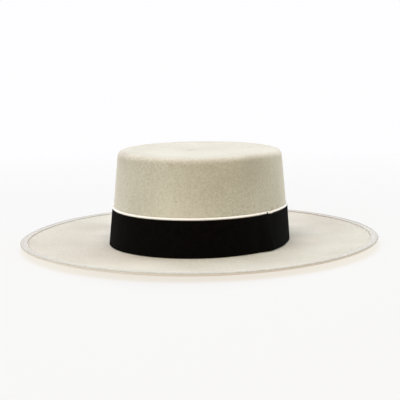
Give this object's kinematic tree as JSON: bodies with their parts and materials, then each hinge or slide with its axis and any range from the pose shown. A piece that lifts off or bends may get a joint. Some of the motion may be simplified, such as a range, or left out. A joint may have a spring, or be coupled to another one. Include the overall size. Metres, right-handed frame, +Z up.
{
  "type": "gaucho hat",
  "caption": "Flat-crowned felt hat with a wide, gently dished brim, a ribbon band that laps over itself, a light piping above it and a bound brim edge.",
  "frame": {"origin": "under the middle of the head oval, on the surface that the hat rests on", "axes": "+Z up; the wearer faces -Y, so +Y runs to the back of the hat; +X is the wearer's left, where the hat band laps"},
  "size_m": [0.3456, 0.3786, 0.0913],
  "materials": {
    "felt": "ivory wool felt, matt, with a short nap and a fine mottled grain",
    "band_ribbon": "black grosgrain ribbon with fine upright ribs, dull sheen",
    "binding_ribbon": "greyish ivory grosgrain ribbon, folded over the edge and stitched",
    "piping": "warm white corded piping"
  },
  "bodies": {
    "root": {"felt_body": "felt", "brim_binding": "binding_ribbon", "hat_band": "band_ribbon", "band_piping": "piping"}
  },
  "joints": []
}
